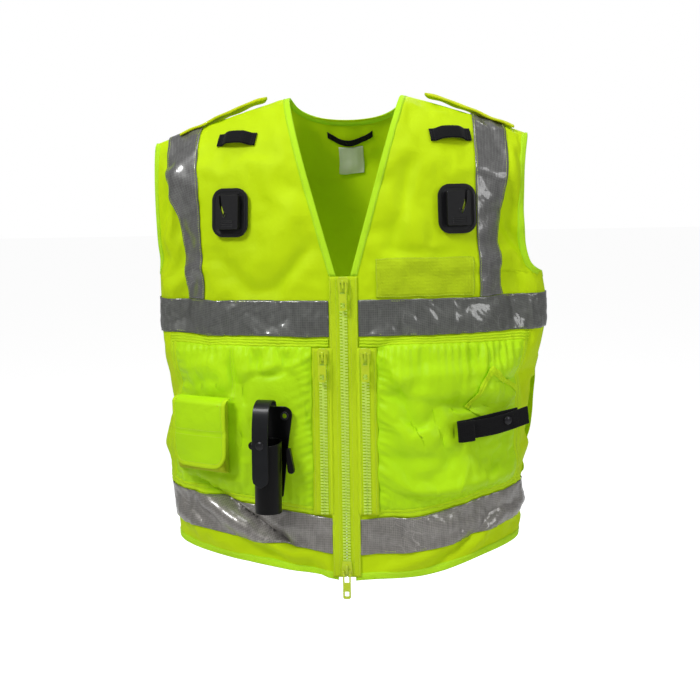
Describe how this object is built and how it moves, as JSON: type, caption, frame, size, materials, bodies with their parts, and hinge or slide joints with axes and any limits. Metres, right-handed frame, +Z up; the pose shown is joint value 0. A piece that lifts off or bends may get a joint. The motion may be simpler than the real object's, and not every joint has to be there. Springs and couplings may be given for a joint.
{
  "type": "high visibility vest",
  "caption": "Zip-front sleeveless safety vest with reflective tape, zipped and flap pockets, a canister holder, radio docks and webbing loops.",
  "frame": {"origin": "middle of the neck opening, level with the high points of the two shoulder seams", "axes": "+Z up as worn, the front faces -Y, the wearer's right is -X"},
  "size_m": [0.5696, 0.2911, 0.7045],
  "materials": {
    "shell_cloth": "matte fluorescent woven cloth",
    "pocket_cloth": "smooth fluorescent woven cloth",
    "binding": "matte ribbed ribbon",
    "reflective_tape": "embossed reflective sheet under clear vinyl",
    "zip_plastic": "moulded satin plastic",
    "black_plastic": "fine-grained moulded plastic",
    "strap_leather": "smooth coated strap",
    "black_webbing": "ribbed woven webbing",
    "dark_metal": "dark plated metal"
  },
  "bodies": {
    "vest": {"armhole_binding_left": "binding", "armhole_binding_right": "binding", "back_panel": "shell_cloth", "badge_panel": "binding", "brace_tape_left": "reflective_tape", "brace_tape_right": "reflective_tape", "chest_loop_left": "black_webbing", "chest_loop_right": "black_webbing", "chest_tape_back": "reflective_tape", "chest_tape_left": "reflective_tape", "chest_tape_right": "reflective_tape", "diamond_patch": "pocket_cloth", "dock_flange_left": "black_plastic", "dock_flange_right": "black_plastic", "dock_receiver_left": "black_plastic", "dock_receiver_right": "black_plastic", "front_panel_left": "shell_cloth", "front_panel_right": "shell_cloth", "hanger_loop": "black_webbing", "hem_binding": "binding", "hem_tape_back": "reflective_tape", "hem_tape_left": "reflective_tape", "hem_tape_right": "reflective_tape", "holder_cup": "black_plastic", "holder_eyelet_inner": "dark_metal", "holder_eyelet_outer": "dark_metal", "holder_plate": "black_plastic", "holder_side_arm": "black_plastic", "neck_binding": "binding", "phone_pouch": "pocket_cloth", "pocket_bag_left": "pocket_cloth", "pocket_bag_right": "pocket_cloth", "pocket_bands_left": "binding", "pocket_bands_right": "binding", "pocket_teeth_left": "zip_plastic", "pocket_teeth_right": "zip_plastic", "pocket_zip_tape_left": "binding", "pocket_zip_tape_right": "binding", "snap_strap_base": "black_webbing", "snap_stud": "dark_metal", "zip_tape_left": "binding", "zip_tape_right": "binding", "zip_teeth_left": "zip_plastic", "zip_teeth_right": "zip_plastic"},
    "top_slider": {"top_slider": "zip_plastic"},
    "top_pull": {"top_pull": "zip_plastic"},
    "bottom_slider": {"bottom_slider": "zip_plastic"},
    "bottom_pull": {"bottom_pull": "zip_plastic"},
    "pocket_right_slider": {"pocket_right_slider": "zip_plastic"},
    "pocket_right_pull": {"pocket_right_pull": "zip_plastic"},
    "pocket_left_slider": {"pocket_left_slider": "zip_plastic"},
    "pocket_left_pull": {"pocket_left_pull": "zip_plastic"},
    "phone_flap": {"phone_flap": "pocket_cloth", "flap_hook_patch": "black_webbing"},
    "holder_strap": {"holder_strap": "strap_leather", "holder_snap_cap": "dark_metal"},
    "snap_strap_free": {"snap_strap_free": "black_webbing", "snap_cap": "dark_metal"},
    "epaulette_right": {"epaulette_right": "pocket_cloth"},
    "epaulette_left": {"epaulette_left": "pocket_cloth"}
  },
  "joints": [
    {"name": "top_slider_slide", "type": "slide", "parent": "vest", "child": "top_slider", "axis": [0, -0.0629, -0.998], "range_m": [0, 0.25]},
    {"name": "bottom_slider_slide", "type": "slide", "parent": "vest", "child": "bottom_slider", "axis": [0, 0.0629, 0.998], "range_m": [0, 0.06]},
    {"name": "pocket_right_slide", "type": "slide", "parent": "vest", "child": "pocket_right_slider", "axis": [-0.0029, -0.0621, -0.9981], "range_m": [0, 0.19]},
    {"name": "pocket_left_slide", "type": "slide", "parent": "vest", "child": "pocket_left_slider", "axis": [0.0029, -0.0621, -0.9981], "range_m": [0, 0.19]},
    {"name": "top_pull_hinge", "type": "hinge", "parent": "top_slider", "child": "top_pull", "pos_m": [0, -0.12057, -0.26015], "axis": [-1, 0, 0], "range_deg": [0, 90]},
    {"name": "bottom_pull_hinge", "type": "hinge", "parent": "bottom_slider", "child": "bottom_pull", "pos_m": [0, -0.14588, -0.66195], "axis": [-1, 0, 0], "range_deg": [0, 90]},
    {"name": "pocket_right_pull_hinge", "type": "hinge", "parent": "pocket_right_slider", "child": "pocket_right_pull", "pos_m": [-0.02954, -0.12869, -0.35799], "axis": [-0.9989, 0.0467, 0], "range_deg": [0, 90]},
    {"name": "pocket_left_pull_hinge", "type": "hinge", "parent": "pocket_left_slider", "child": "pocket_left_pull", "pos_m": [0.02954, -0.12869, -0.35799], "axis": [-0.9989, -0.0467, 0], "range_deg": [0, 90]},
    {"name": "phone_flap_hinge", "type": "hinge", "parent": "vest", "child": "phone_flap", "pos_m": [-0.20096, -0.10058, -0.42094], "axis": [-0.8974, 0.4413, 0], "range_deg": [0, 90]},
    {"name": "holder_strap_hinge", "type": "hinge", "parent": "vest", "child": "holder_strap", "pos_m": [-0.105, -0.13325, -0.4279], "axis": [-0.982, 0.1891, 0], "range_deg": [0, 75]},
    {"name": "snap_strap_hinge", "type": "hinge", "parent": "vest", "child": "snap_strap_free", "pos_m": [0.15891, -0.1234, -0.46632], "axis": [0.1132, 0.0509, -0.9923], "range_deg": [0, 70]},
    {"name": "epaulette_left_hinge", "type": "hinge", "parent": "vest", "child": "epaulette_left", "pos_m": [0.242, 0.006, -0.04513], "axis": [0, 1, 0], "range_deg": [0, 100]},
    {"name": "epaulette_right_hinge", "type": "hinge", "parent": "vest", "child": "epaulette_right", "pos_m": [-0.242, 0.006, -0.04513], "axis": [0, -1, 0], "range_deg": [0, 100]}
  ]
}
